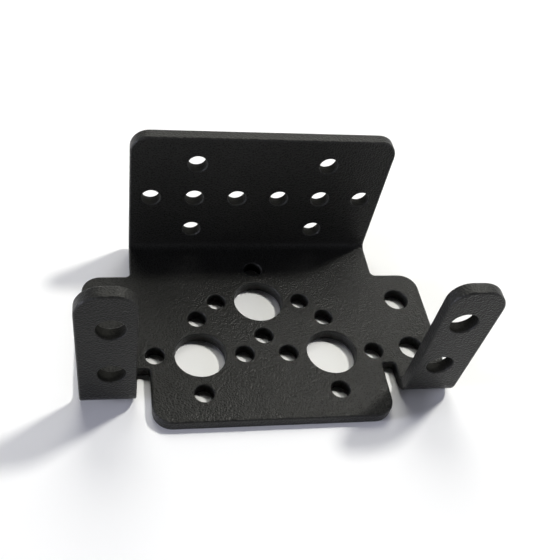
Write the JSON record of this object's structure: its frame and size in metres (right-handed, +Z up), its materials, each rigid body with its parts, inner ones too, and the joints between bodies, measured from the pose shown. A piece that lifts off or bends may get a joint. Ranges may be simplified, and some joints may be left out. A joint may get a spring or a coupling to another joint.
{
  "type": "servo bracket",
  "caption": "Bent sheet-metal servo bracket for a pan-tilt camera mount: flat base with servo horn patterns, side wings with upright ears, and a drilled back wall.",
  "frame": {"origin": "axis of the middle servo horn hole, on the underside of the base", "axes": "+X to the right along the bracket's width, +Y towards the back wall, +Z up from the base"},
  "size_m": [0.0574, 0.0369, 0.0252],
  "materials": {
    "black_anodised": "sand-blasted and black anodised, satin, with slightly rounded edges"
  },
  "bodies": {
    "root": {"servo_bracket": "black_anodised"}
  },
  "joints": []
}
